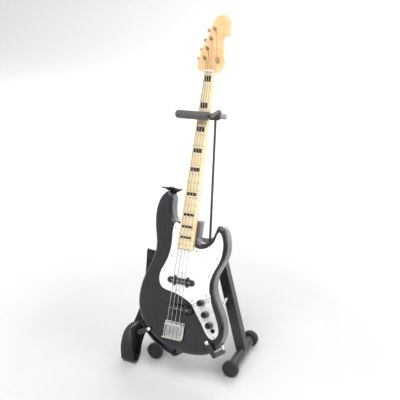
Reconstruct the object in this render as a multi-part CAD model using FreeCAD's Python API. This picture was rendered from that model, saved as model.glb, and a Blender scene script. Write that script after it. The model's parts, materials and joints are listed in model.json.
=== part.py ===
import FreeCAD, Part
import math
import os

os.makedirs("parts", exist_ok=True)

V = FreeCAD.Vector

# ---------------------------------------------------------------- driving sizes (mm)
SCALE = 187.0          # string length, nut to saddle
LEAN = 23.3            # guitar leans back from upright (degrees)
SADDLE_Y, SADDLE_Z = -23.6, 45.8    # where the saddle line meets the body face
BODY_T = 11.5          # body thickness
BODY_EDGE_R = 2.0      # rounding of the body edges
BOARD_TOP = 2.8        # playing face above the body face
BOARD_T = 1.6
NECK_BACK = 3.2        # back of neck below the body face
NUT_W, HEEL_W = 6.7, 13.0
HEAD_TOP, HEAD_T = 0.3, 3.0
FRETS = 20
GUARD_T = 0.8
PLATE_T = 0.7
KNOB_D, KNOB_H = 5.3, 4.2
STRING_R = [0.28, 0.24, 0.20, 0.17]
STRING_PITCH_NUT, STRING_PITCH_BRIDGE = 1.75, 3.2
ACTION_NUT, ACTION_SADDLE = 3.55, 4.6
STRAP_W, STRAP_T = 12.6, 1.2
FOOT_R = 6.5           # rubber end of a foot tube
TUBE_R = 4.0
STAND_X = 5.4          # centre line of the stand
FOOT_HALF = 32.0       # foot tubes each side of the centre line
FOOT_FRONT, FOOT_BACK = -8.8, 35.4
FRAME_LEAN = 9.2       # legs and post share one leaning plane
FRAME_Y0 = 17.4        # that plane at the height of the foot tubes
LEG_W, LEG_D = 8.4, 7.2
POST_R = 0.95
HUB_Z = 86.0
LEG_TOP_X = 8.3        # leg tops each side of the centre line
YOKE_V = 155.0         # how far up the neck the yoke holds it
ROD_R, SLEEVE_R = 1.1, 1.75
YOKE_PAD_R, GATE_PAD_R = 2.7, 3.1
CAP_LEN = 5.5          # rubber end, along the tube

# ---------------------------------------------------------------- named fits (mm)
GAP = 0.3              # between separate bodies that only pass each other
RUN_FIT = 0.05         # radial clearance of a turning fit
POCKET_FIT = 0.05      # neck, pickups and blocks in their pockets

K = SCALE / 187.0
TH = math.radians(LEAN)
FL = math.radians(FRAME_LEAN)
BODY_PLACE = FreeCAD.Placement(V(0, SADDLE_Y, SADDLE_Z), FreeCAD.Rotation(V(1, 0, 0), 90.0 - LEAN))


# ---------------------------------------------------------------- helpers
def fuse(shapes):
    out = shapes[0]
    for s in shapes[1:]:
        out = out.fuse(s)
    clean = out.removeSplitter()
    return clean if clean.isValid() else out


def group(shapes):
    return Part.makeCompound(shapes)


def outline(runs, z=0.0, k=1.0):
    """Closed wire from runs of (x, y) points; two points make a line, more make a smooth curve."""
    edges = []
    for run in runs:
        pts = [V(x * k, y * k, z) for x, y in run]
        if len(pts) == 2:
            edges.append(Part.LineSegment(pts[0], pts[1]).toShape())
        else:
            c = Part.BSplineCurve()
            c.interpolate(pts)
            edges.append(c.toShape())
    return Part.Wire(edges)


def slab(runs, z0, z1, k=1.0):
    return Part.Face(outline(runs, z0, k)).extrude(V(0, 0, z1 - z0))


def poly(pts):
    """Runs of straight lines through the points, closed."""
    return [[pts[i], pts[(i + 1) % len(pts)]] for i in range(len(pts))]


def box(x0, x1, y0, y1, z0, z1):
    return Part.makeBox(x1 - x0, y1 - y0, z1 - z0, V(x0, y0, z0))


def pillar(r, x, y, z0, z1):
    return Part.makeCylinder(r, z1 - z0, V(x, y, z0))


def bar(a, b, r):
    a, b = V(*a), V(*b)
    return Part.makeCylinder(r, (b - a).Length, a, b - a)


def tube_path(pts, r):
    """Round rod through the points, with ball corners."""
    parts = [bar(pts[i], pts[i + 1], r) for i in range(len(pts) - 1)]
    parts += [Part.makeSphere(r * 1.03, V(*p)) for p in pts[1:-1]]
    return fuse(parts)


def wire_path(pts, r):
    """Thin wire with mitred bends through the points."""
    pts = [V(*p) for p in pts]
    ring = Part.Wire(Part.makeCircle(r, pts[0], pts[1] - pts[0]))
    return Part.makePolygon(pts).makePipeShell([ring], True, False, 1)


def round_edges(shape, edges, radii):
    for r in radii:
        try:
            out = shape.makeFillet(r, edges)
            if out.isValid() and out.Volume > 0:
                return out
        except Exception:
            pass
    return shape


def on_guitar(shape):
    s = shape.copy()
    s.Placement = BODY_PLACE.multiply(s.Placement)
    return s


def at(x, v, w):
    p = BODY_PLACE.multVec(V(x, v, w))
    return (p.x, p.y, p.z)


def neck_half(v):
    return (NUT_W + (HEEL_W - NUT_W) * (SCALE - v) / (SCALE - BOARD_END)) / 2.0


def fret_at(n):
    """Distance of fret n up the neck from the saddle."""
    return SCALE * 2.0 ** (-n / 12.0)


BOARD_END = 56.0 * K
NUT_V = SCALE
nodes = {}

# ================================================================ body
BODY = [
    [(-7.2, 75.8), (-10.0, 75.0), (-13.2, 76.6), (-15.4, 81.5), (-16.3, 88.5), (-17.2, 94.0),
     (-20.3, 96.4), (-24.6, 93.4), (-27.8, 86.0), (-28.4, 77.0), (-26.8, 66.5), (-24.8, 58.0),
     (-24.6, 50.0), (-27.2, 40.5), (-31.0, 30.0), (-33.0, 18.5), (-31.8, 7.0), (-26.8, -3.0),
     (-18.5, -11.2), (-6.0, -17.4), (8.0, -19.6), (22.0, -18.6), (32.0, -14.0), (37.0, -5.5),
     (37.6, 4.0), (33.6, 14.5), (28.0, 24.0), (25.2, 33.5), (26.8, 43.0), (30.6, 51.5),
     (32.0, 60.0), (30.4, 69.0), (27.0, 75.0), (23.6, 76.2), (21.4, 72.0), (19.2, 66.0),
     (15.2, 62.2), (10.8, 61.6), (7.2, 64.0)],
    [(7.2, 64.0), (7.2, 77.5)],
    [(7.2, 77.5), (-7.2, 77.5)],
    [(-7.2, 77.5), (-7.2, 75.8)],
]
body = slab(BODY, -BODY_T, 0.0, K)
curved = [e for e in body.Edges if abs(e.BoundBox.ZLength) < 1e-6 and e.Length > 60 * K]
body = round_edges(body, curved, (BODY_EDGE_R, 0.8 * BODY_EDGE_R, 0.6 * BODY_EDGE_R))

heel_top = 77.5 * K
POCKET_D = NECK_BACK + 0.2
pocket_half = HEEL_W / 2.0 + POCKET_FIT
body = body.cut(box(-pocket_half, pocket_half, BOARD_END - POCKET_FIT, heel_top + 5, -POCKET_D, 5))

NECK_PU = (0.2 * K, 31.8 * K)
BRIDGE_PU = (1.4 * K, 11.6 * K)
PU_LEN, PU_W, PU_R = 21.5, 4.2, 1.9


def pickup_block(c, z0, z1, grow=0.0):
    h, w, r = PU_LEN / 2.0 + grow, PU_W / 2.0 + grow, PU_R + grow
    x, y = c
    b = box(x - h, x + h, y - w, y + w, z0, z1)
    b = b.makeFillet(min(r, w - 0.05), [e for e in b.Edges if e.BoundBox.ZLength > (z1 - z0) * 0.9])
    ears = [pillar(1.15 + grow, x + sx * 5.2, y + sy * (PU_W / 2.0 + 0.35), z0, z1)
            for sx in (-1, 1) for sy in (-1, 1)]
    return fuse([b] + ears)


CAVITY = 3.0
for c in (NECK_PU, BRIDGE_PU):
    body = body.cut(pickup_block(c, -CAVITY, 1.0, POCKET_FIT))

KNOBS = [(18.4 * K, 19.2 * K), (22.9 * K, 11.6 * K), (27.1 * K, 4.6 * K)]
JACK = (29.9 * K, 0.9 * K)
SHAFT_R, SHAFT_DEEP = 0.95, 4.0
for x, y in KNOBS:
    body = body.cut(pillar(SHAFT_R + POCKET_FIT, x, y, -SHAFT_DEEP, 1))
JACK_R, JACK_DEEP = 1.35, 4.0
body = body.cut(pillar(JACK_R + POCKET_FIT, JACK[0], JACK[1], -JACK_DEEP, 1))

# ================================================================ neck, board, nut
h1, h0 = NUT_W / 2.0, HEEL_W / 2.0
neck_top = BOARD_TOP - BOARD_T
shaft = slab(poly([(-h0, BOARD_END), (h0, BOARD_END), (h1, NUT_V + 1.5), (-h1, NUT_V + 1.5)]),
             -NECK_BACK, neck_top)
under = [e for e in shaft.Edges if e.BoundBox.YLength > 50 and e.BoundBox.ZMax < -NECK_BACK + 0.1]
shaft = round_edges(shaft, under, (2.6, 2.0, 1.4))
heel = box(-h0, h0, BOARD_END, heel_top, -POCKET_D, neck_top - 0.5)
HEAD = [
    [(-3.8, 187.2), (-7.6, 187.6), (-10.6, 189.4)],
    [(-10.6, 189.4), (-10.4, 197.0), (-8.6, 205.6), (-5.6, 213.0), (-4.0, 219.4), (-2.6, 225.0),
     (0.4, 228.8), (4.6, 229.8), (8.6, 228.6), (10.6, 224.8), (10.6, 220.0), (11.6, 216.6)],
    [(11.6, 216.6), (9.0, 214.0), (6.4, 216.0)],
    [(6.4, 216.0), (6.6, 211.0), (8.0, 202.0), (10.2, 194.6)],
    [(10.2, 194.6), (8.2, 190.6), (3.8, 187.2)],
    [(3.8, 187.2), (-3.8, 187.2)],
]
head = slab(HEAD, HEAD_TOP - HEAD_T, HEAD_TOP, K)
neck = fuse([shaft, heel, head])

POSTS = [(-0.6 * K, 219.4 * K), (-2.6 * K, 212.0 * K), (-4.4 * K, 204.8 * K), (-5.6 * K, 197.8 * K)]
POST_PIN_R = 0.8
for x, y in POSTS:
    neck = neck.cut(pillar(POST_PIN_R + RUN_FIT, x, y, -10, 10))

BOARD_GAP = 1.1
board_top_v = NUT_V - 0.1
board = slab(poly([(-h0, BOARD_END), (h0, BOARD_END), (neck_half(board_top_v), board_top_v),
                   (-neck_half(board_top_v), board_top_v)]), neck_top, BOARD_TOP)
FRET_W, FRET_H, TANG_W, TANG_D = 0.6, 0.36, 0.24, 0.6
frets = []
for n in range(1, FRETS + 1):
    v = fret_at(n)
    hw = neck_half(v) - 0.15
    crown = bar((-hw, v, BOARD_TOP - 0.02), (hw, v, BOARD_TOP - 0.02), FRET_W / 2.0)
    crown = crown.common(box(-20, 20, v - 2, v + 2, BOARD_TOP, BOARD_TOP + FRET_H))
    tang = box(-hw, hw, v - TANG_W / 2, v + TANG_W / 2, BOARD_TOP - TANG_D, BOARD_TOP + 0.05)
    frets.append(fuse([crown, tang]))
    board = board.cut(box(-20, 20, v - TANG_W / 2, v + TANG_W / 2, BOARD_TOP - TANG_D, BOARD_TOP + 1))
blocks = []
for n in (1, 3, 5, 7, 9, 12, 15, 17, 19):
    a, b = fret_at(n), fret_at(n - 1)
    mid, half = (a + b) / 2.0, min(0.30 * (b - a), 2.3)
    hw = neck_half(mid) * 0.70
    blocks.append(box(-hw, hw, mid - half, mid + half, BOARD_TOP - 0.5, BOARD_TOP + 0.02))
    board = board.cut(box(-hw, hw, mid - half, mid + half, BOARD_TOP - 0.5, BOARD_TOP + 1))

nut = box(-NUT_W / 2, NUT_W / 2, NUT_V - 0.1, NUT_V + 1.1, neck_top, ACTION_NUT + 0.35)


BR_L, BR_R, BR_FRONT, BR_BACK = -7.9, 7.9, 1.8 * K, -10.6 * K
STRING_HOLE_Z, SADDLE_SCREW_Z, CUT_FIT = 3.45, 2.2, 0.03


def string_run(i):
    """Route of a string from the bridge lip over its saddle to just past the nut."""
    x = string_x(i, 0)
    return [(x, BR_BACK - 0.5, STRING_HOLE_Z), (x, BR_BACK + 1.6, STRING_HOLE_Z), (x, 0, ACTION_SADDLE),
            (string_x(i, NUT_V), NUT_V + 1.25, ACTION_NUT)]


def string_x(i, v):
    f = v / SCALE
    p = STRING_PITCH_BRIDGE + (STRING_PITCH_NUT - STRING_PITCH_BRIDGE) * f
    return (i - 1.5) * p


for i in range(4):
    x = string_x(i, NUT_V)
    r = STRING_R[i] + 0.03
    nut = nut.cut(box(x - r, x + r, NUT_V - 1, NUT_V + 2, ACTION_NUT - r, ACTION_NUT + 1))

# ================================================================ guard, plate and their screws
SPLIT = [(11.0, 16.6), (24.6, 24.4)]
GUARD = [
    [(-6.9, 56.0), (-6.9, 72.5)],
    [(-6.9, 72.5), (-10.6, 74.0), (-11.9, 70.0), (-11.7, 62.0), (-11.8, 54.0), (-14.6, 43.0),
     (-17.8, 33.5), (-15.0, 25.6), (-7.2, 23.2), (3.0, 20.6), (11.0, 16.6)],
    [(11.0, 16.6), (24.6, 24.4)],
    [(24.6, 24.4), (22.4, 33.5), (24.6, 43.0), (28.2, 52.0), (28.9, 60.0), (27.4, 67.5),
     (24.6, 71.4), (22.3, 66.0), (18.6, 60.4), (13.0, 57.6), (6.9, 58.4)],
    [(6.9, 58.4), (6.9, 56.0)],
    [(6.9, 56.0), (-6.9, 56.0)],
]
guard = slab(GUARD, 0.02, GUARD_T, K)
neck_room = box(-h0 - 0.15, h0 + 0.15, BOARD_END - 0.15, BOARD_END + 60, -1, 5)
guard = guard.cut(neck_room).cut(pickup_block(NECK_PU, -1, 5, 0.15))
CONTROL = [
    [(11.1, 16.4), (16.6, 9.0), (21.6, 2.6), (26.4, -3.6), (30.4, -5.2), (33.8, -1.6), (33.0, 5.0),
     (28.6, 14.2), (24.7, 24.2)],
    [(24.7, 24.2), (11.1, 16.4)],
]
plate = slab(CONTROL, 0.02, PLATE_T, K)
for x, y in KNOBS:
    plate = plate.cut(pillar(SHAFT_R + POCKET_FIT, x, y, -1, 5))
plate = plate.cut(pillar(JACK_R + POCKET_FIT, JACK[0], JACK[1], -1, 5))

GUARD_SCREWS = [(-10.0, 70.0), (-10.2, 49.0), (-14.4, 37.6), (-2.4, 24.9), (0.2, 38.0), (9.4, 55.6),
                (24.6, 67.6), (26.0, 52.4), (21.4, 39.4), (10.8, 19.3), (21.4, 25.0)]
PLATE_SCREWS = [(13.3, 15.9), (23.7, 21.0), (31.4, -3.4)]
SCREW_R, SCREW_CORE = 0.75, 0.35
screws = []
for pts, top in ((GUARD_SCREWS, GUARD_T), (PLATE_SCREWS, PLATE_T)):
    for x, y in pts:
        x, y = x * K, y * K
        head_ = pillar(SCREW_R, x, y, top, top + 0.35)
        head_ = head_.makeFillet(0.22, [e for e in head_.Edges if e.BoundBox.ZMin > top + 0.3])
        slot = box(x - SCREW_R, x + SCREW_R, y - 0.12, y + 0.12, top + 0.18, top + 1)
        screws.append(fuse([head_, pillar(SCREW_CORE, x, y, -2.2, top)]).cut(slot))
        hole = pillar(SCREW_CORE, x, y, -2.2, 5)
        body, guard, plate = body.cut(hole), guard.cut(hole), plate.cut(hole)

# ================================================================ knobs and jack
shafts, knobs = [], []
KNOB_LIFT = 0.35
for x, y in KNOBS:
    shafts.append(fuse([pillar(SHAFT_R, x, y, -SHAFT_DEEP, PLATE_T + 0.25),
                        pillar(0.8, x, y, 0, PLATE_T + 3.2)]))
    z0 = PLATE_T + KNOB_LIFT + 0.05
    k = Part.makeCone(KNOB_D / 2, KNOB_D / 2 * 0.86, KNOB_H, V(x, y, z0))
    k = k.makeFillet(0.4, [e for e in k.Edges if e.BoundBox.ZMin > z0 + KNOB_H - 0.1])
    for j in range(12):
        a = math.radians(30 * j + 15)
        r = KNOB_D / 2 + 0.12
        k = k.cut(pillar(0.42, x + r * math.cos(a), y + r * math.sin(a), z0 - 1, z0 + KNOB_H + 1))
    k = k.cut(pillar(0.8 + RUN_FIT, x, y, z0 - 1, PLATE_T + 3.2 + 0.1))
    k = k.cut(box(x - 0.16, x + 0.16, y + 0.8, y + KNOB_D, z0 + KNOB_H - 0.25, z0 + KNOB_H + 1))
    knobs.append(k)

jack = fuse([pillar(JACK_R, JACK[0], JACK[1], -JACK_DEEP, PLATE_T + 0.35),
             pillar(JACK_R + 0.3, JACK[0], JACK[1], PLATE_T, PLATE_T + 0.35)])
jack = jack.cut(pillar(0.85, JACK[0], JACK[1], -JACK_DEEP + 0.6, 5))

# ================================================================ pickups
PU_TOP = {"neck": GUARD_T + 1.3, "bridge": 1.9}
pole_r, pole_rise = 0.45, 0.12
pickups, poles = {}, []
for name, c in (("neck", NECK_PU), ("bridge", BRIDGE_PU)):
    top = PU_TOP[name]
    p = pickup_block(c, -CAVITY, top)
    p = round_edges(p, [e for e in p.Edges if e.BoundBox.ZMin > top - 1e-4], (0.35, 0.2))
    for i in range(4):
        for dx in (-0.62, 0.62):
            x = c[0] + (i - 1.5) * 4.4 + dx
            poles.append(pillar(pole_r, x, c[1], top - 1.5, top + pole_rise))
            p = p.cut(pillar(pole_r, x, c[1], top - 1.5, top + 1))
    pickups[name] = p

# ================================================================ bridge
BR_T, LIP_T, LIP_H = 0.8, 0.9, 4.2
bridge = fuse([box(BR_L, BR_R, BR_BACK, BR_FRONT, 0.02, BR_T),
               box(BR_L, BR_R, BR_BACK, BR_BACK + LIP_T, 0.02, LIP_H),
               box(BR_L, BR_L + 0.6, BR_BACK, BR_FRONT - 2, 0.02, 1.7),
               box(BR_R - 0.6, BR_R, BR_BACK, BR_FRONT - 2, 0.02, 1.7)])
saddles, saddle_screws = [], []
SADDLE_R = 1.25
for i in range(4):
    x = string_x(i, 0)
    z = ACTION_SADDLE - STRING_R[i] - SADDLE_R + 0.25
    s = bar((x - 1.35, 0, z), (x + 1.35, 0, z), SADDLE_R)
    run = string_run(i)
    groove = STRING_R[i] + CUT_FIT
    s = s.cut(bar(run[1], run[2], groove)).cut(bar(run[2], run[3], groove))
    s = s.cut(Part.makeSphere(groove, V(*run[2])))
    sz = SADDLE_SCREW_Z
    s = s.cut(bar((x, -3, sz), (x, 3, sz), 0.32))
    saddle_screws.append(fuse([bar((x, BR_BACK + 0.0, sz), (x, 0.9, sz), 0.32),
                               bar((x, BR_BACK - 0.55, sz), (x, BR_BACK, sz), 0.62)]))
    bridge = bridge.cut(bar((x, BR_BACK - 2, sz), (x, BR_BACK + 2, sz), 0.32))
    bridge = bridge.cut(bar((x, BR_BACK - 2, STRING_HOLE_Z), (x, BR_BACK + 2, STRING_HOLE_Z), groove))
    for dx in (-0.85, 0.85):
        leg = pillar(0.24, x + dx, 0, BR_T, z + SADDLE_R + 0.1)
        s = s.cut(pillar(0.24, x + dx, 0, BR_T - 1, z + SADDLE_R + 2))
        saddle_screws.append(leg)
    saddles.append(s)

# ================================================================ tuners
KEY_R = 0.5
keys, pegs, tuner_plates = [], [], []
back = HEAD_TOP - HEAD_T
for i, (x, y) in enumerate(POSTS):
    peg = fuse([pillar(POST_PIN_R, x, y, back - 0.4, HEAD_TOP + 2.6),
                pillar(POST_PIN_R + 0.2, x, y, HEAD_TOP + 2.2, HEAD_TOP + 2.7)])
    peg = peg.cut(box(x - 0.2, x + 0.2, y - 3, y + 3, HEAD_TOP + 2.3, HEAD_TOP + 4))
    pegs.append(peg)
    zk = back - 1.5
    housing = fuse([box(x - 2.2, x + 2.0, y - 2.3, y + 2.3, back - 0.5, back - 0.02),
                    box(x - 3.4, x - 1.6, y - 1.0, y + 1.0, back - 2.4, back - 0.4)])
    housing = housing.cut(pillar(POST_PIN_R + RUN_FIT, x, y, back - 5, back + 1))
    housing = housing.cut(bar((x - 6, y, zk), (x - 1.0, y, zk), KEY_R + RUN_FIT))
    tuner_plates.append(housing)
    shank = bar((x - 5.8, y, zk), (x - 1.8, y, zk), KEY_R)
    ring = bar((x - 4.3, y, zk), (x - 3.7, y, zk), 0.85)
    ear = Part.makeCylinder(1.4, 1.0, V(x - 6.6, y, zk - 0.5))
    ear = ear.makeFillet(0.3, [e for e in ear.Edges if e.Closed])
    keys.append(fuse([shank, ring, ear]))

TREE = (5.0 * K, 196.2 * K)
tree = fuse([pillar(1.7, TREE[0], TREE[1], HEAD_TOP + 1.6, HEAD_TOP + 2.1),
             pillar(0.45, TREE[0], TREE[1], HEAD_TOP - 1.6, HEAD_TOP + 2.1)])
neck = neck.cut(pillar(0.45, TREE[0], TREE[1], HEAD_TOP - 1.6, HEAD_TOP + 5))

# ================================================================ strings
strings = []
for i in range(4):
    r = STRING_R[i]
    side = POST_PIN_R + r + 0.04
    px, pv = POSTS[3 - i]
    wz = HEAD_TOP + 1.0
    pts = string_run(i)
    if i == 3:
        pts.append((TREE[0] - 1.0, TREE[1], HEAD_TOP + 1.6 - r - 0.3))
    pts.append((px + side, pv, wz))
    wire = wire_path(pts, r)
    coil = pillar(side + r, px, pv, wz - 2 * r, wz + 2 * r).cut(pillar(side - r, px, pv, wz - 9, wz + 9))
    strings.append(fuse([wire.cut(pillar(side - r, px, pv, wz - 9, wz + 9)), coil]))

# ================================================================ strap buttons and neck plate
HORN = (-20.3 * K, 96.4 * K)
TAIL = (0.0, -18.9 * K)
MID = -BODY_T / 2.0
BTN_R, BTN_HEAD = 0.9, 2.3


def strap_button(x, v0, d):
    prof = [(0, 0), (1.7, 0), (1.1, 0.9), (BTN_R, 1.1), (BTN_R, 3.3), (BTN_HEAD, 4.2), (BTN_HEAD, 4.6),
            (0, 4.9), (0, 0)]
    w = Part.makePolygon([V(a, 0, b) for a, b in prof])
    b = Part.Face(w).revolve(V(0, 0, 0), V(0, 0, 1), 360)
    b.rotate(V(0, 0, 0), V(1, 0, 0), -90 * d)
    b.translate(V(x, v0, MID))
    return fuse([b, bar((x, v0 - d * 3.0, MID), (x, v0 + d * 0.4, MID), 0.5)])


horn_base, tail_base = HORN[1] + 0.05, TAIL[1] - 0.75
btn_up = strap_button(HORN[0], horn_base, 1)
btn_low = strap_button(TAIL[0], tail_base, -1)
for b in (btn_up, btn_low):
    body = body.cut(b)

plate_v0, plate_v1 = BOARD_END + 3.0, heel_top - 3.0
neck_plate = box(-5.2, 5.2, plate_v0, plate_v1, -BODY_T - 0.6, -BODY_T - 0.02)
neck_plate = neck_plate.makeFillet(1.2, [e for e in neck_plate.Edges if e.BoundBox.ZLength > 0.5])
neck_screws = []
for x in (-3.7, 3.7):
    for v in (plate_v0 + 1.5, plate_v1 - 1.5):
        neck_screws.append(fuse([pillar(0.95, x, v, -BODY_T - 1.1, -BODY_T - 0.6),
                                 pillar(0.4, x, v, -BODY_T - 0.6, -1.4)]))
        hole = pillar(0.4, x, v, -BODY_T - 5, -1.4)
        neck_plate, body, neck = neck_plate.cut(hole), body.cut(hole), neck.cut(hole)

# ================================================================ strap
wdir_face = BODY_PLACE.Rotation.multVec(V(0, 0, 1))
X = (1, 0, 0)
W = (wdir_face.x, wdir_face.y, wdir_face.z)
strap_lift = horn_base + 2.2
STRAP = [
    (at(HORN[0], strap_lift, 0.2), X),
    (at(HORN[0], strap_lift, MID), X),
    (at(HORN[0], strap_lift, -BODY_T - 1.5), X),
    (at(HORN[0] - 3.5, strap_lift - 1.0, -BODY_T - 2.5), X),
    (at(HORN[0] - 6.5, strap_lift - 5.0, -BODY_T - 5.5), X),
    ((-29.0, 26.0, 111.0), X),
    ((-29.5, 24.0, 98.0), X),
    ((-31.0, 21.5, 88.0), X),
    ((-36.5, 19.0, 79.0), X),
    ((-38.0, 17.0, 71.0), X),
    ((-36.5, 10.0, 58.0), X),
    ((-34.6, -1.0, 43.0), X),
    ((-35.5, -6.0, 32.0), X),
    ((-38.0, -9.0, 22.0), X),
    ((-40.4, -11.0, 12.0), X),
    ((-41.8, -12.6, 4.0), X),
    ((-42.2, -15.5, 0.95), X),
    ((-42.8, -21.0, 1.4), X),
    ((-43.2, -23.8, 5.0), (1, -0.1, 0)),
    ((-43.8, -23.2, 14.0), (1, -0.25, 0)),
    ((-42.6, -21.8, 24.0), (0.95, -0.5, 0.1)),
    ((-38.6, -20.8, 32.4), (0.6, -0.75, 0.3)),
    ((-33.2, -20.4, 36.6), (0.25, -0.9, 0.35)),
    (at(-28.4, -4.0, MID), (0.05, W[1], W[2])),
    (at(-23.9, -8.3, MID), W),
    (at(-16.0, -14.9, MID), W),
    (at(-7.0, -19.6, MID), W),
    (at(0.0, tail_base - 2.2, MID), W),
    (at(4.5, tail_base - 2.25, MID), W),
]


def band(stations, width, thick):
    """Flat strap skinned through cross sections at the stations."""
    wires = []
    n = len(stations)
    spans = []
    for i, (c, wd) in enumerate(stations):
        c = V(*c)
        a = V(*stations[max(i - 1, 0)][0])
        b = V(*stations[min(i + 1, n - 1)][0])
        t = (b - a).normalize()
        wd = V(*wd)
        wd = (wd - t * wd.dot(t)).normalize()
        nrm = t.cross(wd).normalize()
        q = [c + wd * (sx * width / 2) + nrm * (sy * thick / 2)
             for sx, sy in ((-1, -1), (1, -1), (1, 1), (-1, 1))]
        wires.append(Part.makePolygon(q + [q[0]]))
    for i in range(n - 1):
        spans.append(Part.makeLoft(wires[i:i + 2], True, True))
    return fuse(spans)


strap = band(STRAP, STRAP_W, STRAP_T)
for x, v0, d in ((HORN[0], horn_base, 1), (TAIL[0], tail_base, -1)):
    a, b = at(x, v0 + d * 1.0, MID), at(x, v0 + d * 3.4, MID)
    strap = strap.cut(bar(a, b, BTN_R + RUN_FIT))

# ================================================================ stand


def frame_y(z):
    """Middle of the leaning frame plane at a height."""
    return FRAME_Y0 + (z - FOOT_R) * math.tan(FL)


foot_tubes, foot_caps = {}, {}
TUBE_END = 1.5         # tube runs this far past the middle of its end
for side, sx in (("left", -1), ("right", 1)):
    x = STAND_X + sx * FOOT_HALF
    tube = bar((x, FOOT_FRONT - TUBE_END, FOOT_R), (x, FOOT_BACK + TUBE_END, FOOT_R), TUBE_R)
    caps = []
    for y, d in ((FOOT_FRONT, -1), (FOOT_BACK, 1)):
        y0, y1 = y - CAP_LEN / 2, y + CAP_LEN / 2
        cap = bar((x, y0, FOOT_R), (x, y1, FOOT_R), FOOT_R)
        cap = cap.makeFillet(1.8, [e for e in cap.Edges if e.Closed and abs(e.BoundBox.YLength) < 1e-6])
        cap = cap.cut(bar((x, y - d * CAP_LEN, FOOT_R), (x, y + d * TUBE_END, FOOT_R), TUBE_R))
        flat = 0.12
        cap = cap.cut(box(x - 9, x + 9, y0 - 1, y1 + 1, -1, flat))
        caps.append(cap)
    foot_caps[side], foot_tubes[side] = caps, tube

legs = {}
LEG_TOP = HUB_Z - 2.0
for side, sx in (("left", -1), ("right", 1)):
    x0 = STAND_X + sx * FOOT_HALF
    xt = STAND_X + sx * LEG_TOP_X
    z0, z1 = FOOT_R, LEG_TOP
    p = []
    for x, z in ((x0, z0), (xt, z1)):
        y = frame_y(z)
        q = [V(x - LEG_W / 2, y - LEG_D / 2, z), V(x + LEG_W / 2, y - LEG_D / 2, z),
             V(x + LEG_W / 2, y + LEG_D / 2, z), V(x - LEG_W / 2, y + LEG_D / 2, z)]
        p.append(Part.makePolygon(q + [q[0]]))
    leg = Part.makeLoft(p, True, True)
    leg = round_edges(leg, [e for e in leg.Edges if e.BoundBox.ZLength > 50], (0.7, 0.4))
    clear = bar((x0, -50, FOOT_R), (x0, 80, FOOT_R), TUBE_R)
    leg = leg.cut(clear)
    leg = leg.cut(box(x0 - 20, x0 + 20, -50, 80, -5, FOOT_R))
    legs[side] = leg

hy = frame_y(HUB_Z)
HUB_W, HUB_D, HUB_H = 2 * LEG_TOP_X + LEG_W + 3.4, LEG_D + 2.4, 12.0
hub = box(STAND_X - HUB_W / 2, STAND_X + HUB_W / 2, hy - HUB_D / 2, hy + HUB_D / 2,
          HUB_Z - HUB_H + 4, HUB_Z + 4)
hub = round_edges(hub, [e for e in hub.Edges if e.BoundBox.ZLength > 5], (1.6, 1.0))
hub = hub.cut(legs["left"]).cut(legs["right"])


def on_frame(z):
    return (STAND_X, frame_y(z), z)


POST_BOTTOM, POST_TOP = HUB_Z - 3.0, 187.0
post = bar(on_frame(POST_BOTTOM), on_frame(POST_TOP), POST_R)
hub = hub.cut(post)

SCREW_Z = HUB_Z + 1.2
sy = frame_y(SCREW_Z)
screw_tip, screw_end = sy + POST_R + GAP + 0.15, hy + HUB_D / 2 + 4.0
thumb = fuse([bar((STAND_X, screw_tip, SCREW_Z), (STAND_X, screw_end - 1.0, SCREW_Z), 0.9),
              bar((STAND_X, screw_end - 3.0, SCREW_Z), (STAND_X, screw_end, SCREW_Z), 2.6)])
for j in range(8):
    a = math.radians(45 * j + 22.5)
    cx, cz = STAND_X + 2.75 * math.cos(a), SCREW_Z + 2.75 * math.sin(a)
    thumb = thumb.cut(bar((cx, hy + HUB_D / 2, cz), (cx, hy + HUB_D / 2 + 6, cz), 0.5))
hub = hub.cut(bar((STAND_X, sy, SCREW_Z), (STAND_X, hy + HUB_D, SCREW_Z), 0.9 + RUN_FIT))

pins = []
for sx in (-1, 1):
    x = STAND_X + sx * (LEG_TOP_X + 0.6)
    z = HUB_Z - 5.2
    y = frame_y(z)
    pin = bar((x, hy - HUB_D / 2 - 0.6, z), (x, hy + HUB_D / 2 + 0.6, z), 0.8)
    heads = [bar((x, hy - HUB_D / 2 - 0.8, z), (x, hy - HUB_D / 2, z), 1.5),
             bar((x, hy + HUB_D / 2, z), (x, hy + HUB_D / 2 + 0.8, z), 1.5)]
    hole = bar((x, hy - 20, z), (x, hy + 20, z), 0.8)
    hub = hub.cut(hole)
    for side in legs:
        legs[side] = legs[side].cut(hole)
    pins.append(fuse([pin] + heads))

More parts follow.
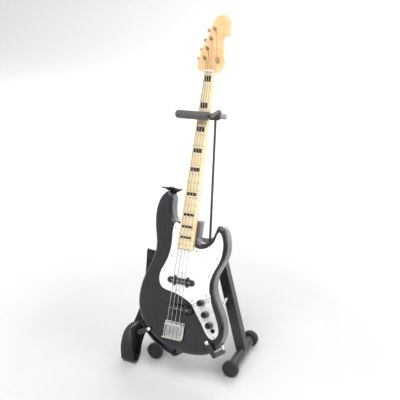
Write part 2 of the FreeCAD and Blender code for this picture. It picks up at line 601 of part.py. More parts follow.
# cradle arms: bent steel rods with black sleeves, hooking round the lower body corners
arms, sleeves = {}, {}
HOOKS = {"left": [(-15.0, 4.0), (-26.3, -10.9), (-19.3, -7.2)],
         "right": [(24.0, 4.0), (34.4, -15.6), (27.4, -7.6)]}
ARM_Z, TIP_R = 50.0, 1.5
HOOK_W = SLEEVE_R + GUARD_T + 0.9
for side, sx in (("left", -1), ("right", 1)):
    (mx, mv), (hx, hv), (tx, tv) = [(a * K, b * K) for a, b in HOOKS[side]]
    f = (ARM_Z - FOOT_R) / (LEG_TOP - FOOT_R)
    lx = STAND_X + sx * (FOOT_HALF + (LEG_TOP_X - FOOT_HALF) * f)
    ly = frame_y(ARM_Z)
    root = (lx, ly - LEG_D / 2 + 3.0, ARM_Z)
    out = (lx, ly - LEG_D / 2 - 4.0, ARM_Z)
    back_w = -BODY_T - SLEEVE_R - 3.2
    pts = [root, out, at(mx, mv, back_w), at(hx, hv, back_w), at(hx, hv, HOOK_W), at(tx, tv, HOOK_W)]
    arm = fuse([tube_path(pts, ROD_R), Part.makeSphere(TIP_R, V(*pts[5]))])
    d = V(*pts[5]) - V(*pts[4])
    u = d / d.Length
    end = V(*pts[5]) - u * (TIP_R + 0.2)
    over = [at(hx, hv, back_w + 1.0), pts[4], (end.x, end.y, end.z)]
    sleeve = tube_path(over, SLEEVE_R).cut(arm)
    arms[side], sleeves[side] = arm, sleeve
    legs[side] = legs[side].cut(bar(root, out, ROD_R))

# yoke: padded bar behind the neck, swinging padded gate in front, both carried by a clamp on the post
yw = -NECK_BACK - GAP - YOKE_PAD_R
yc = at(0, YOKE_V + 0.4, yw)
CLAMP_Z0, CLAMP_Z1 = 184.0, 188.3
CL_X0, CL_X1 = STAND_X - POST_R - 0.5, STAND_X + 4.1
py_top = frame_y(187.0)
clamp = box(CL_X0, CL_X1, yc[1] - 1.6, py_top + 3.0, CLAMP_Z0, CLAMP_Z1)
clamp = clamp.makeFillet(0.8, [e for e in clamp.Edges if e.BoundBox.ZLength > 4])
rear_core = bar((-15.0, yc[1], yc[2]), (CL_X0 + 1.5, yc[1], yc[2]), 1.2)
clamp = fuse([clamp, rear_core])
rear_pad = bar((-16.2, yc[1], yc[2]), (CL_X0 - 0.15, yc[1], yc[2]), YOKE_PAD_R)
rear_end = [e for e in rear_pad.Edges if e.Closed and e.BoundBox.XMax < -16]
rear_pad = round_edges(rear_pad, rear_end, (1.6, 1.0))
rear_pad = rear_pad.cut(rear_core)
clamp = clamp.cut(post)

PIN_R, LUG_R, LUG_Z0, LUG_Z1 = 0.75, 1.5, CLAMP_Z1 + 0.15, CLAMP_Z1 + 2.0
PIN_X, PIN_Y = STAND_X + 2.55, py_top + 0.6
CAP_R, CAP_Z = 2.1, CLAMP_Z1 - 2.3
end_cap = bar((CL_X1 + 0.02, PIN_Y - 0.4, CAP_Z), (CL_X1 + 4.5, PIN_Y - 0.4, CAP_Z), CAP_R)
end_cap = end_cap.makeFillet(0.6, [e for e in end_cap.Edges if e.Closed and e.BoundBox.XMin > CL_X1 + 4.4])
gate_pin = fuse([pillar(PIN_R, PIN_X, PIN_Y, CLAMP_Z1 - 2.4, LUG_Z1 + 0.2),
                 pillar(PIN_R + 0.6, PIN_X, PIN_Y, LUG_Z1 + 0.12, LUG_Z1 + 0.6)])
clamp = clamp.cut(pillar(PIN_R, PIN_X, PIN_Y, CLAMP_Z1 - 2.4, CLAMP_Z1 + 5))

gw = ACTION_NUT + 0.8 + GAP + GATE_PAD_R
gc = at(0, YOKE_V - 1.5, gw)
GX0, GX1 = PIN_X - LUG_R, PIN_X + LUG_R
lug = fuse([pillar(LUG_R, PIN_X, PIN_Y, LUG_Z0, LUG_Z1), box(GX0, GX1, gc[1] - 1.6, PIN_Y, LUG_Z0, LUG_Z1)])
gate_core = bar((-18.0, gc[1], gc[2]), (PIN_X, gc[1], gc[2]), 1.2)
gate = fuse([lug, gate_core]).cut(pillar(PIN_R + RUN_FIT, PIN_X, PIN_Y, 185, 195))
gate_pad = bar((-19.5, gc[1], gc[2]), (GX0 - 0.15, gc[1], gc[2]), GATE_PAD_R)
gate_end = [e for e in gate_pad.Edges if e.Closed and e.BoundBox.XMax < -18]
gate_pad = round_edges(gate_pad, gate_end, (2.2, 1.5))
gate_pad = gate_pad.cut(gate_core)

# ================================================================ collect and write
guitar = {
    "guitar_body": body, "neck": neck, "fingerboard": board, "frets": group(frets),
    "inlay_blocks": group(blocks), "nut": nut, "pickguard": guard, "control_plate": plate,
    "plate_screws": group(screws), "knob_neck_volume": knobs[0], "knob_bridge_volume": knobs[1],
    "knob_tone": knobs[2], "knob_shafts": group(shafts), "output_jack": jack,
    "neck_pickup": pickups["neck"], "bridge_pickup": pickups["bridge"], "pole_pieces": group(poles),
    "bridge_plate": bridge, "bridge_saddles": group(saddles), "saddle_screws": group(saddle_screws),
    "string_tree": tree, "tuner_housings": group(tuner_plates), "strap_button_upper": btn_up,
    "strap_button_lower": btn_low, "neck_plate": neck_plate, "neck_screws": group(neck_screws),
}
for i in range(4):
    guitar["string_%d" % (i + 1)] = strings[i]
    guitar["tuner_key_%d" % (i + 1)] = keys[i]
    guitar["tuner_post_%d" % (i + 1)] = pegs[i]
for name, s in guitar.items():
    nodes[name] = on_guitar(s)
nodes["strap"] = strap
for side in ("left", "right"):
    nodes["foot_tube_" + side] = foot_tubes[side]
    nodes["foot_ends_" + side] = group(foot_caps[side])
    nodes["leg_" + side] = legs[side]
    nodes["cradle_arm_" + side] = arms[side]
    nodes["cradle_sleeve_" + side] = sleeves[side]
nodes.update({
    "hub": hub, "hub_pins": group(pins), "post": post, "thumb_screw": thumb, "yoke_clamp": clamp,
    "yoke_rear_pad": rear_pad, "yoke_end_cap": end_cap, "gate_pin": gate_pin, "yoke_gate": gate,
    "gate_pad": gate_pad,
})

bounds = FreeCAD.BoundBox()
for s in nodes.values():
    bounds.add(s.optimalBoundingBox(False, False))
shift = V(-(bounds.XMin + bounds.XMax) / 2, -(bounds.YMin + bounds.YMax) / 2, -bounds.ZMin)
print("shift %.4f %.4f %.4f" % (shift.x, shift.y, shift.z))
for name, s in nodes.items():
    s = s.copy()
    s.translate(shift)
    s.exportStep("parts/%s.step" % name)
print(len(nodes), "nodes", "size %.2f %.2f %.2f" % (bounds.XLength, bounds.YLength, bounds.ZLength))
for k in ("guitar_body", "neck", "pickguard", "control_plate", "strap", "hub", "yoke_clamp", "yoke_gate"):
    print(k, nodes[k].isValid(), len(nodes[k].Solids), round(nodes[k].Volume, 1))
for k, p in (("POSTS", [at(x, y, 0) for x, y in POSTS]), ("KNOBS", [at(x, y, 0) for x, y in KNOBS]),
             ("GATE", [(PIN_X, PIN_Y, 190.0)]), ("THUMB", [(STAND_X, hy + 6, SCREW_Z)]),
             ("KEYS", [at(x - 6, y, back - 1.5) for x, y in POSTS])):
    print(k, [tuple(round(a + b, 3) for a, b in zip(q, (shift.x, shift.y, shift.z))) for q in p])
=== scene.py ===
import bpy, bmesh, json, math
from mathutils import Matrix, Vector


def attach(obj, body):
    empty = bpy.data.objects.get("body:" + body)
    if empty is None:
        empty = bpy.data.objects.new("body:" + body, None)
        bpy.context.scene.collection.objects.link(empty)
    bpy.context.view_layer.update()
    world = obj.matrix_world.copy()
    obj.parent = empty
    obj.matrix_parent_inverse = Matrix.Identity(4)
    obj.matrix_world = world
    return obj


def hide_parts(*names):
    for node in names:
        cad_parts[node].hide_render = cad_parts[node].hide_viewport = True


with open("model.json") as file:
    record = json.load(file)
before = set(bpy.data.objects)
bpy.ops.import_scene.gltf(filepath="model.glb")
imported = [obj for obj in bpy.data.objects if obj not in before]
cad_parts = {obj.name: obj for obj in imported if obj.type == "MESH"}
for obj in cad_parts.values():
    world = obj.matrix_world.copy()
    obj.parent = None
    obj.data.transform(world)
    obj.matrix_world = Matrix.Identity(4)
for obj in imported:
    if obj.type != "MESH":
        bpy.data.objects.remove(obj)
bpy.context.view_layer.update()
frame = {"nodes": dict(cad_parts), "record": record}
NODES = frame["nodes"]

# the row frame against the build frame, in millimetres
SHIFT = Vector((3.0778, -17.5176, -0.12))
LEAN = math.radians(23.3)
UP = Vector((0, math.sin(LEAN), math.cos(LEAN)))
OUT = Vector((0, -math.cos(LEAN), math.sin(LEAN)))
SADDLE = Vector((0, -23.6, 45.8)) + SHIFT


def mm(x, y, z):
    """A point of the build frame, in metres of the row frame."""
    return (Vector((x, y, z)) + SHIFT) / 1000


def on_guitar(x, v, w):
    """A point across, up the neck from the saddle, and out of the body's face, in mm."""
    return (SADDLE + Vector((x, 0, 0)) + UP * v + OUT * w) / 1000


# ---------------------------------------------------------------- camera
CAMERA_AT = mm(186.6, -384.8, 301.4)
YAW, PITCH, ROLL = math.radians(24.43), math.radians(21.29), math.radians(-1.52)
LENS, SENSOR, NEAR_CLIP = 57.6, 36.0, 0.01


def make_camera():
    """The photo's camera: yaw about the vertical, then pitch down, then roll about the line of sight."""
    ahead = Vector((-math.sin(YAW), math.cos(YAW), 0))
    look = ahead * math.cos(PITCH) + Vector((0, 0, -math.sin(PITCH)))
    side = look.cross(Vector((0, 0, 1))).normalized()
    top = side.cross(look)
    right = side * math.cos(ROLL) + top * math.sin(ROLL)
    above = -side * math.sin(ROLL) + top * math.cos(ROLL)
    data = bpy.data.cameras.new("camera")
    data.lens, data.sensor_width = LENS, SENSOR
    data.clip_start = NEAR_CLIP
    cam = bpy.data.objects.new("camera", data)
    bpy.context.scene.collection.objects.link(cam)
    turn = Matrix((right, above, -look)).transposed()
    cam.matrix_world = Matrix.Translation(CAMERA_AT) @ turn.to_4x4()
    return cam


bpy.context.scene.camera = make_camera()
bpy.context.scene.view_settings.view_transform = "Standard"


# ---------------------------------------------------------------- materials
class Nodes:
    """A material and short ways to add nodes to it."""

    def __init__(self, name, **sockets):
        self.mat = bpy.data.materials.new(name)
        self.mat.use_nodes = True
        self.tree = self.mat.node_tree
        self.bsdf = self.tree.nodes["Principled BSDF"]
        for k, v in sockets.items():
            s = self.bsdf.inputs[k.replace("_", " ")]
            s.default_value = (*v, 1.0) if s.type == "RGBA" else v
        self.mat.diffuse_color = self.bsdf.inputs["Base Color"].default_value

    def add(self, kind, values=None, **props):
        n = self.tree.nodes.new(kind)
        for k, v in props.items():
            setattr(n, k, v)
        for k, v in (values or {}).items():
            n.inputs[k].default_value = v
        return n

    def link(self, a, b):
        self.tree.links.new(a, b)

    def coords(self, scale=(1, 1, 1), turn=(0, 0, 0)):
        c = self.add("ShaderNodeTexCoord")
        m = self.add("ShaderNodeMapping")
        m.inputs["Scale"].default_value = scale
        m.inputs["Rotation"].default_value = turn
        self.link(c.outputs["Object"], m.inputs["Vector"])
        return m.outputs["Vector"]

    def noise(self, vec, scale, detail=4.0, rough=0.55):
        n = self.add("ShaderNodeTexNoise", {"Scale": scale, "Detail": detail, "Roughness": rough})
        self.link(vec, n.inputs["Vector"])
        return n.outputs["Fac"]

    def cells(self, vec, scale):
        n = self.add("ShaderNodeTexVoronoi", {"Scale": scale})
        self.link(vec, n.inputs["Vector"])
        return n.outputs["Distance"]

    def ramp(self, fac, stops):
        n = self.add("ShaderNodeValToRGB")
        e = n.color_ramp.elements
        while len(e) < len(stops):
            e.new(0.5)
        for i, (p, c) in enumerate(stops):
            e[i].position = p
            e[i].color = (*c, 1.0) if isinstance(c, tuple) else (c, c, c, 1.0)
        self.link(fac, n.inputs["Fac"])
        return n.outputs["Color"]

    def mix(self, fac, a, b):
        n = self.add("ShaderNodeMix", data_type="RGBA")
        self.link(fac, n.inputs[0])
        for sock, v in ((n.inputs[6], a), (n.inputs[7], b)):
            if isinstance(v, tuple):
                sock.default_value = (*v, 1.0)
            else:
                self.link(v, sock)
        return n.outputs[2]

    def colour(self, out):
        self.link(out, self.bsdf.inputs["Base Color"])

    def rough(self, fac, low, high):
        self.link(self.ramp(fac, [(0.3, low), (0.7, high)]), self.bsdf.inputs["Roughness"])

    def bump(self, height, strength, distance, under=None):
        n = self.add("ShaderNodeBump", {"Strength": strength, "Distance": distance})
        self.link(height, n.inputs["Height"])
        if under:
            self.link(under, n.inputs["Normal"])
        self.link(n.outputs["Normal"], self.bsdf.inputs["Normal"])
        return n.outputs["Normal"]


# takes the guitar's own axes to x across, y up the neck
GRAIN_TURN = (-(math.pi / 2 - LEAN), 0, 0)
EDGE_BAND = 0.0034


def lacquer():
    m = Nodes("black_lacquer", Base_Color=(0.013, 0.012, 0.017), Roughness=0.3, Coat_Weight=1.0,
              Coat_Roughness=0.04, Coat_IOR=1.5, Specular_IOR_Level=0.2)
    v = m.coords()
    m.colour(m.ramp(m.noise(v, 60, 3), [(0.35, (0.012, 0.011, 0.015)), (0.7, (0.018, 0.017, 0.022))]))
    m.rough(m.noise(v, 260, 5), 0.17, 0.3)
    soft = m.add("ShaderNodeBevel", {"Radius": EDGE_BAND}, samples=6).outputs["Normal"]
    peel = m.bump(m.noise(v, 420, 2), 0.1, 0.0003, soft)
    m.link(m.bump(m.ramp(m.cells(v, 520), [(0.0, 0.0), (0.06, 1.0)]), 0.04, 0.0001, peel),
           m.bsdf.inputs["Coat Normal"])
    return m.mat


def maple(name, light, dark, streak, coat=0.8):
    m = Nodes(name, Base_Color=light, Roughness=0.32, Coat_Weight=coat, Coat_Roughness=0.12,
              Subsurface_Weight=0.05, Subsurface_Radius=(0.004, 0.002, 0.001))
    v = m.coords((1.0, 0.07, 1.0), GRAIN_TURN)
    grain = m.noise(v, 900, 6, 0.6)
    bands = m.noise(v, 170, 3, 0.5)
    base = m.mix(m.ramp(bands, [(0.35, 0.0), (0.68, 1.0)]), light, dark)
    col = m.mix(m.ramp(grain, [(0.5, 0.0), (0.72, 0.55)]), base, streak)
    flame = m.noise(m.coords((0.35, 1.6, 1.0), GRAIN_TURN), 130, 2)
    col = m.mix(m.ramp(flame, [(0.42, 0.0), (0.7, 0.16)]), col, (0.98, 0.86, 0.62))
    m.colour(col)
    m.rough(grain, 0.26, 0.42)
    m.bump(grain, 0.14, 0.00012)
    return m.mat


def plastic(name, base, rough=0.25, coat=0.5, speck=0.12):
    m = Nodes(name, Base_Color=base, Roughness=rough, Coat_Weight=coat, Coat_Roughness=0.08)
    v = m.coords()
    tone = m.noise(v, 90, 4)
    darker = tuple(c * (1 - speck) for c in base)
    m.colour(m.ramp(tone, [(0.35, darker), (0.65, base)]))
    m.rough(m.noise(v, 700, 4), rough * 0.75, rough * 1.35)
    m.bump(m.noise(v, 1500, 3), 0.08, 0.00008)
    return m.mat


def metal(name, base, rough, stretch=(1, 1, 1), scale=900, bump=0.1, dull=None, shine=1.0):
    m = Nodes(name, Base_Color=base, Metallic=shine, Roughness=rough)
    v = m.coords(stretch, GRAIN_TURN)
    smear = m.noise(m.coords(), 160, 4)
    m.colour(m.ramp(smear, [(0.3, dull or tuple(c * 0.82 for c in base)), (0.62, base)]))
    m.rough(m.noise(v, scale, 5), rough * 0.6, rough * 1.6)
    m.bump(m.noise(v, scale * 1.4, 3), bump, 0.00006)
    return m.mat


def paint(name, base, rough):
    m = Nodes(name, Base_Color=base, Roughness=rough, Coat_Weight=0.25, Coat_Roughness=0.2)
    v = m.coords()
    m.colour(m.ramp(m.noise(v, 140, 5), [(0.35, base), (0.7, tuple(min(1, c * 1.7 + 0.004) for c in base))]))
    m.rough(m.noise(v, 500, 4), rough * 0.8, rough * 1.25)
    fine = m.bump(m.noise(v, 2200, 3), 0.3, 0.00012)
    m.bump(m.cells(v, 1300), 0.12, 0.00008, fine)
    return m.mat


def foam(name, base, rough):
    m = Nodes(name, Base_Color=base, Roughness=rough, Specular_IOR_Level=0.35, Sheen_Weight=0.15,
              Sheen_Roughness=0.5)
    v = m.coords()
    dark, light = tuple(c * 0.7 for c in base), tuple(c * 1.5 for c in base)
    m.colour(m.ramp(m.noise(v, 700, 5), [(0.3, dark), (0.7, light)]))
    m.rough(m.noise(v, 300, 3), rough * 0.85, min(1.0, rough * 1.15))
    low = m.bump(m.cells(v, 2600), 0.5, 0.00016)
    m.bump(m.noise(v, 350, 3), 0.2, 0.0004, low)
    return m.mat


def leather():
    m = Nodes("strap_leather", Base_Color=(0.008, 0.008, 0.008), Roughness=0.38, Coat_Weight=0.12,
              Coat_Roughness=0.25, Specular_IOR_Level=0.28)
    v = m.coords()
    cells = m.cells(v, 1500)
    m.colour(m.ramp(m.noise(v, 120, 5), [(0.3, (0.004, 0.0045, 0.004)), (0.75, (0.012, 0.013, 0.012))]))
    m.rough(m.noise(v, 240, 4), 0.24, 0.46)
    low = m.bump(cells, 0.4, 0.0002)
    m.bump(m.noise(v, 170, 4), 0.35, 0.0007, low)
    return m.mat


def string_mat():
    m = Nodes("string_steel", Base_Color=(0.4, 0.39, 0.37), Metallic=1.0, Roughness=0.32)
    w = m.add("ShaderNodeTexWave", {"Scale": 1500.0, "Distortion": 0.4}, bands_direction="Y")
    m.link(m.coords(turn=GRAIN_TURN), w.inputs["Vector"])
    m.colour(m.ramp(w.outputs["Fac"], [(0.1, (0.22, 0.21, 0.2)), (0.6, (0.5, 0.49, 0.47))]))
    m.bump(w.outputs["Fac"], 0.5, 0.00008)
    return m.mat


def floor_mat():
    m = Nodes("floor_paper", Base_Color=(0.66, 0.65, 0.65), Roughness=0.7, Specular_IOR_Level=0.2)
    v = m.coords()
    grey = m.ramp(m.noise(v, 14, 3), [(0.3, (0.60, 0.585, 0.59)), (0.7, (0.62, 0.605, 0.61))])
    sep = m.add("ShaderNodeVectorMath", operation="LENGTH")
    m.link(v, sep.inputs[0])
    # painted light and shade: the paper is grey around the object and turns near white farther off and up the
    # wall, standing in for shade near the object and a brightly lit backdrop
    painted_light_far = m.ramp(sep.outputs["Value"], [(0.14, 0.0), (0.5, 1.0)])
    m.colour(m.mix(painted_light_far, grey, (0.97, 0.97, 0.97)))
    m.bump(m.noise(v, 900, 3), 0.05, 0.0001)
    return m.mat


MATS = {
    "black_lacquer": lacquer(),
    "maple": maple("maple_neck", (0.92, 0.56, 0.24), (0.84, 0.46, 0.17), (0.62, 0.30, 0.10)),
    "maple_board": maple("maple_board", (0.97, 0.80, 0.47), (0.93, 0.72, 0.38), (0.76, 0.50, 0.22), 0.9),
    "fret_metal": metal("fret_metal", (0.82, 0.8, 0.74), 0.25, (0.2, 3, 1)),
    "black_inlay": plastic("black_inlay", (0.012, 0.011, 0.011), 0.18, 0.8),
    "white_plastic": plastic("white_plastic", (0.95, 0.95, 0.95), 0.2, 0.7, 0.02),
    "satin_plate": metal("satin_plate", (0.9, 0.9, 0.9), 0.4, (0.15, 6, 1), 700, 0.12, shine=0.45),
    "small_chrome": metal("small_chrome", (0.72, 0.72, 0.72), 0.22),
    "black_plastic": plastic("black_plastic", (0.018, 0.018, 0.019), 0.36, 0.2, 0.3),
    "bridge_chrome": metal("bridge_chrome", (0.97, 0.96, 0.93), 0.12, bump=0.03, dull=(0.88, 0.87, 0.83)),
    "string_steel": string_mat(),
    "strap_leather": leather(),
    "strap_thread": plastic("strap_thread", (0.05, 0.05, 0.05), 0.6, 0.0),
    "black_paint": paint("black_paint", (0.022, 0.022, 0.023), 0.42),
    "tuner_nickel": metal("tuner_nickel", (0.36, 0.32, 0.26), 0.3),
    "grey_cap": plastic("grey_cap", (0.33, 0.33, 0.335), 0.3, 0.4),
    "knob_gloss": plastic("knob_gloss", (0.004, 0.004, 0.004), 0.16, 0.3, 0.3),
    "pad_grey": foam("pad_grey", (0.085, 0.078, 0.075), 0.55),
    "dark_steel": metal("dark_steel", (0.13, 0.13, 0.135), 0.3),
    "black_rubber": foam("black_rubber", (0.022, 0.022, 0.023), 0.7),
}
# the record's slot names the material, except for the nodes in OWN
SLOT_OF = {s["node"]: s["material_slot"] for s in frame["record"]["subparts"]}
OWN = {"knob_neck_volume": "knob_gloss", "knob_bridge_volume": "knob_gloss", "knob_tone": "knob_gloss",
       "gate_pad": "pad_grey", "yoke_end_cap": "grey_cap", "tuner_housings": "tuner_nickel",
       "string_tree": "tuner_nickel"}
for i in range(1, 5):
    OWN["tuner_key_%d" % i] = OWN["tuner_post_%d" % i] = "tuner_nickel"
for name, obj in NODES.items():
    obj.data.materials.clear()
    obj.data.materials.append(MATS[OWN.get(name, SLOT_OF[name])])


# ---------------------------------------------------------------- helpers for pieces
def add_object(name, bm, smooth):
    """The bmesh as an object of the scene."""
    mesh = bpy.data.meshes.new(name)
    bm.to_mesh(mesh)
    bm.free()
    o = bpy.data.objects.new(name, mesh)
    bpy.context.scene.collection.objects.link(o)
    for p in mesh.polygons:
        p.use_smooth = smooth
    return o


def piece(name, bm, mat, body, smooth=True):
    """A visual piece that rides on a body; its slot is its material's name."""
    o = add_object(name, bm, smooth)
    o.data.materials.append(MATS[mat])
    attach(o, body)
    return o


def curve_points(points, n):
    """Even points along a smooth curve through the given ones, with the spacing parameter."""
    out = []
    k = len(points)
    for i in range(k - 1):
        p0, p1 = points[max(i - 1, 0)], points[i]
        p2, p3 = points[i + 1], points[min(i + 2, k - 1)]
        for j in range(n):
            t = j / n
            out.append(0.5 * ((2 * p1) + (p2 - p0) * t + (2 * p0 - 5 * p1 + 4 * p2 - p3) * t * t
                              + (3 * p1 - p0 - 3 * p2 + p3) * t ** 3))
    out.append(points[-1].copy())
    return out


# ---------------------------------------------------------------- strap
X = Vector((1, 0, 0))
HORN, TAIL, MID = (-20.3, 96.45), (0.0, -19.65), -5.75
TAB_GAP = 2.2                     # between the body and the strap's middle at the horn and the tail
lift = HORN[1] + TAB_GAP
STRAP = [
    (on_guitar(HORN[0], lift, 0.2), X), (on_guitar(HORN[0], lift, MID), X),
    (on_guitar(HORN[0], lift, -13.0), X), (on_guitar(HORN[0] - 2.0, HORN[1], -16.0), X),
    (on_guitar(HORN[0] - 5.5, lift - 8.5, -18.0), X), (mm(-28.5, 26.0, 110.0), X), (mm(-29.5, 24.0, 99.0), X),
    (mm(-30.8, 22.0, 92.0), X), (mm(-35.2, 20.2, 86.5), X), (mm(-37.6, 18.3, 79.0), X),
    (mm(-38.0, 17.0, 71.0), X), (mm(-36.5, 10.0, 58.0), X), (mm(-34.8, -1.0, 43.0), X),
    (mm(-37.3, -6.0, 32.0), X), (mm(-40.8, -9.0, 22.0), X), (mm(-43.4, -11.0, 12.0), X),
    (mm(-44.4, -12.6, 4.0), X), (mm(-44.4, -15.5, 0.95), X), (mm(-43.6, -21.0, 1.4), X),
    (mm(-43.2, -23.8, 5.0), Vector((1, -0.1, 0))),
    (mm(-43.8, -23.2, 14.0), Vector((1, -0.25, 0))), (mm(-42.6, -21.8, 24.0), Vector((0.95, -0.5, 0.1))),
    (mm(-38.6, -20.8, 32.4), Vector((0.6, -0.75, 0.3))), (mm(-33.2, -20.4, 36.6), Vector((0.25, -0.9, 0.35))),
    (on_guitar(-28.4, -4.0, MID), Vector((0.05, OUT.y, OUT.z))), (on_guitar(-23.9, -8.3, MID), OUT),
    (on_guitar(-16.0, -14.9, MID), OUT), (on_guitar(-7.0, -19.6, MID), OUT),
    (on_guitar(0.0, TAIL[1] - TAB_GAP, MID), OUT), (on_guitar(4.5, TAIL[1] - 2.25, MID), OUT),
]
STRAP_W, STRAP_T = 0.0126, 0.0011
PER_STATION = 10                  # rows of the band between two stations
PINCH, PINCH_ROWS = 0.0016, 9.0   # how far the end on the horn thickens underneath, and over how many rows
STITCH_STEP, STITCH_LENGTH, THREAD_R, FIRST_STITCH = 0.0016, 0.00105, 0.00011, 0.004
STITCH_INSET = 0.115              # from an edge, as a share of the band's width


def strap_frames():
    """Centre, sideways and outward direction of each row of the band."""
    centres = curve_points([p for p, _ in STRAP], PER_STATION)
    wides = curve_points([w for _, w in STRAP], PER_STATION)
    rows = []
    for i, (c, w) in enumerate(zip(centres, wides)):
        t = (centres[min(i + 1, len(centres) - 1)] - centres[max(i - 1, 0)]).normalized()
        w = (w - t * w.dot(t)).normalized()
        rows.append((c, w, t.cross(w).normalized()))
    return rows


# station, and where the two edges lie there in half widths
SIDES = [(0.0, -1.0, 1.0), (1.6, -1.0, 1.0), (2.6, -0.9, 0.3), (3.4, -0.6, 0.2), (5.0, -0.2, 0.7),
         (7.0, -0.1, 0.75), (8.0, 0.55, 1.0), (8.8, 0.6, 1.0), (8.9, -1.0, 1.0), (99.0, -1.0, 1.0)]


def strap_sides(s):
    """The two edges at a station: a narrow end tab runs into the full band at the waist."""
    for (s0, a0, b0), (s1, a1, b1) in zip(SIDES, SIDES[1:]):
        if s <= s1:
            f = (s - s0) / (s1 - s0)
            return a0 + (a1 - a0) * f, b0 + (b1 - b0) * f
    return -1.0, 1.0


def make_band(rows):
    """The band, with soft edges and a slightly sunk line of stitching near each edge."""
    right = [(0.4, 1.02), (0.74, 0.98), (0.77, 0.72), (0.80, 0.98), (0.93, 1.0), (0.985, 0.6), (1.0, 0.0)]
    prof = [(-a, b) for a, b in reversed(right)] + [(0.0, 1.04)] + right
    ring = prof + [(a, -b) for a, b in reversed(prof[1:-1])]
    bm = bmesh.new()
    grid = []
    for i, (c, w, nrm) in enumerate(rows):
        # the end over the horn button is thicker underneath, as a shallow V towards the horn
        pinch = PINCH * max(0.0, 1.0 - i / PINCH_ROWS)
        lo, hi = strap_sides(i / PER_STATION)
        line = []
        for a, b in ring:
            q = lo + (hi - lo) * (a + 1) / 2
            under = pinch * max(0.0, 1.0 - abs(a) / 0.5) if (nrm * b).dot(UP) < 0 else 0.0
            line.append(bm.verts.new(c + w * STRAP_W / 2 * q + nrm * STRAP_T / 2 * b - UP * under))
        grid.append(line)
    for a, b in zip(grid, grid[1:]):
        for j in range(len(ring)):
            k = (j + 1) % len(ring)
            bm.faces.new((a[j], a[k], b[k], b[j]))
    bm.faces.new(list(reversed(grid[0])))
    bm.faces.new(grid[-1])
    bmesh.ops.recalc_face_normals(bm, faces=bm.faces)
    o = piece("strap_band", bm, "strap_leather", "guitar")
    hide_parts("strap")


def make_stitches(rows):
    """Short raised threads along both edges of the band, on both faces."""
    bm = bmesh.new()
    shape = Matrix.Diagonal((THREAD_R, THREAD_R, STITCH_LENGTH / 2, 1))
    height = STRAP_T / 2 * 0.74 + THREAD_R * 0.9
    dist, nxt = 0.0, FIRST_STITCH
    for i, ((c0, w0, n0), (c1, w1, n1)) in enumerate(zip(rows, rows[1:])):
        seg = (c1 - c0).length
        along = (c1 - c0).normalized().to_track_quat("Z", "Y").to_matrix().to_4x4()
        while dist + seg > nxt:
            f = (nxt - dist) / seg
            wide, out = w0.lerp(w1, f).normalized(), n0.lerp(n1, f).normalized()
            lo, hi = strap_sides((i + f) / PER_STATION)
            inset = (hi - lo) * STITCH_INSET
            for edge in (lo + inset, hi - inset):
                for face in (-1, 1):
                    at_ = c0.lerp(c1, f) + wide * STRAP_W / 2 * edge + out * face * height
                    place = Matrix.Translation(at_) @ along @ shape
                    thread = bmesh.ops.create_icosphere(bm, subdivisions=1, radius=1.0)
                    bmesh.ops.transform(bm, verts=thread["verts"], matrix=place)
            nxt += STITCH_STEP
        dist += seg
    piece("strap_stitches", bm, "strap_thread", "guitar")


strap_rows = strap_frames()
make_band(strap_rows)
make_stitches(strap_rows)


def lathe(profile, at_, axis, steps=40):
    """Round piece from (radius, height) points in mm, standing at a point along an axis."""
    bm = bmesh.new()
    place = Matrix.Translation(at_) @ axis.to_track_quat("Z", "Y").to_matrix().to_4x4()
    rings = []
    for r, h in profile:
        if r < 1e-6:
            rings.append([bm.verts.new(place @ Vector((0, 0, h / 1000)))])
        else:
            angles = [2 * math.pi * k / steps for k in range(steps)]
            rings.append([bm.verts.new(place @ (Vector((r * math.cos(a), r * math.sin(a), h)) / 1000))
                          for a in angles])
    for a, b in zip(rings, rings[1:]):
        for k in range(steps):
            n = (k + 1) % steps
            if len(a) == 1:
                bm.faces.new((a[0], b[k], b[n]))
            elif len(b) == 1:
                bm.faces.new((a[k], a[n], b[0]))
            else:
                bm.faces.new((a[k], a[n], b[n], b[k]))
    bmesh.ops.recalc_face_normals(bm, faces=bm.faces)
    return bm


# a low button that holds the strap's end down on the horn
BUTTON = [(0, 0), (1.75, 0), (1.7, 0.2), (1.15, 0.85), (0.88, 1.1), (0.88, 2.75), (1.9, 2.85), (2.25, 2.95),
          (2.3, 3.1), (2.2, 3.22), (1.5, 3.34), (0.55, 3.38), (0.5, 3.2), (0, 3.2)]
o = piece("horn_button", lathe(BUTTON, on_guitar(HORN[0], HORN[1], MID), UP), "black_plastic", "guitar")
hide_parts("strap_button_upper")


# ---------------------------------------------------------------- inlays, with the pocket filled around them
STRING_LENGTH = 187.0
INLAY_FRETS = (1, 3, 5, 7, 9, 12, 15, 17, 19)
NUT_WIDTH, NECK_WIDENS, NECK_LENGTH = 6.7, 6.3, 131.0
INLAY_WIDTH = 0.70                # share of the neck's width
INLAY_HEIGHT, POCKET_HEIGHT, POCKET_MAX = 0.22, 0.30, 2.3
POCKET_FLOOR, INLAY_TOP, FILL_TOP = 2.3, 2.8, 2.79
MIN_FILL = 0.05


def fret_at(n):
    """Height of a fret above the saddle."""
    return STRING_LENGTH * 2 ** (-n / 12)


def add_block(bm, half_width, v0, v1, top):
    """A box in a pocket of the fingerboard, from v0 to v1 up the neck."""
    c = [bm.verts.new(on_guitar(x, v, w))
         for x in (-half_width, half_width) for v in (v0, v1) for w in (POCKET_FLOOR, top)]
    for f in ((0, 1, 3, 2), (4, 6, 7, 5), (0, 4, 5, 1), (2, 3, 7, 6), (0, 2, 6, 4), (1, 5, 7, 3)):
        bm.faces.new([c[i] for i in f])


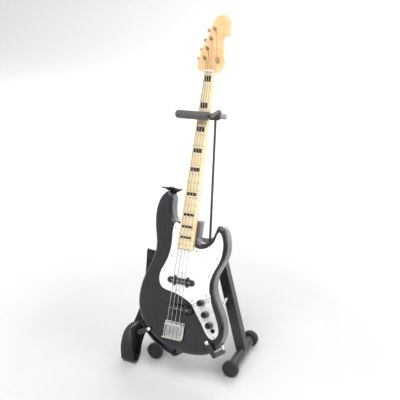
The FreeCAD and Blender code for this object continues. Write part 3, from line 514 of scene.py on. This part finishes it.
def make_inlays():
    """Black blocks, and maple that fills what each block leaves open in the pocket of its CAD solid."""
    blocks, fill = bmesh.new(), bmesh.new()
    for n in INLAY_FRETS:
        gap = fret_at(n - 1) - fret_at(n)
        mid = (fret_at(n - 1) + fret_at(n)) / 2
        wide = INLAY_WIDTH / 2 * (NUT_WIDTH + NECK_WIDENS * (STRING_LENGTH - mid) / NECK_LENGTH)
        pocket = min(POCKET_HEIGHT * gap, POCKET_MAX)
        half = min(INLAY_HEIGHT * gap, pocket - MIN_FILL)
        add_block(blocks, wide, mid - half, mid + half, INLAY_TOP)
        add_block(fill, wide, mid - pocket, mid - half, FILL_TOP)
        add_block(fill, wide, mid + half, mid + pocket, FILL_TOP)
    for bm in (blocks, fill):
        bmesh.ops.recalc_face_normals(bm, faces=bm.faces)
    o = piece("inlay_black", blocks, "black_inlay", "guitar", smooth=False)
    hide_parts("inlay_blocks")
    piece("inlay_maple", fill, "maple_board", "guitar", smooth=False)


make_inlays()


# ---------------------------------------------------------------- floor, light
FLOOR_HALF, WALL_AT, WALL_TOP, SWEEP_R = 3.0, 1.6, 2.6, 0.5
FLOOR_DROP = 0.0002               # keeps the paper just under the feet


def make_floor():
    """A sheet of paper that lies flat and sweeps up into a wall behind the object."""
    sweep = [math.radians(6 * k) for k in range(16)]
    prof = [(-FLOOR_HALF, 0.0)]
    prof += [(WALL_AT - SWEEP_R + SWEEP_R * math.sin(a), SWEEP_R - SWEEP_R * math.cos(a)) for a in sweep]
    prof += [(WALL_AT, WALL_TOP)]
    bm = bmesh.new()
    left, right = [[bm.verts.new((x, y, z - FLOOR_DROP)) for y, z in prof] for x in (-FLOOR_HALF, FLOOR_HALF)]
    for j in range(len(prof) - 1):
        bm.faces.new((left[j], right[j], right[j + 1], left[j + 1]))
    return add_object("floor", bm, smooth=True)


floor = make_floor()
floor.data.materials.append(floor_mat())


DARK_SIDE = (0.40, -0.83, 0.38)
DARK_FROM, DARK_FULL = 0.80, 0.93   # cosine of the angle from DARK_SIDE
WORLD_STRENGTH = 0.66


def make_world():
    """A white surround with the dark side of the room behind the camera."""
    world = bpy.data.worlds.new("studio")
    world.use_nodes = True
    tree = world.node_tree
    coords = tree.nodes.new("ShaderNodeTexCoord")
    dot = tree.nodes.new("ShaderNodeVectorMath")
    dot.operation = "DOT_PRODUCT"
    dot.inputs[1].default_value = Vector(DARK_SIDE).normalized()
    ramp = tree.nodes.new("ShaderNodeValToRGB")
    white, dark = ramp.color_ramp.elements
    white.position, white.color = DARK_FROM, (1.0, 1.0, 1.0, 1.0)
    dark.position, dark.color = DARK_FULL, (0.04, 0.04, 0.045, 1.0)
    background = tree.nodes["Background"]
    tree.links.new(coords.outputs["Generated"], dot.inputs[0])
    tree.links.new(dot.outputs["Value"], ramp.inputs["Fac"])
    tree.links.new(ramp.outputs["Color"], background.inputs["Color"])
    background.inputs["Strength"].default_value = WORLD_STRENGTH
    return world


bpy.context.scene.world = make_world()


def area(name, at_, target, size, watts):
    """A rectangular lamp that faces a point; metres and watts."""
    d = bpy.data.lights.new(name, "AREA")
    d.shape = "RECTANGLE"
    d.size, d.size_y = size
    d.energy = watts
    o = bpy.data.objects.new(name, d)
    bpy.context.scene.collection.objects.link(o)
    o.location = at_
    o.rotation_euler = (Vector(target) - Vector(at_)).to_track_quat("-Z", "Y").to_euler()


area("key_soft", (0.0, -0.75, 1.35), (0, 0, 0.12), (0.9, 0.7), 15)
area("fill_right", (1.2, -0.1, 0.8), (0, 0, 0.12), (0.8, 0.8), 9)
area("back_top", (0.1, 0.9, 1.2), (0, 0.1, 0.1), (1.2, 0.6), 9)
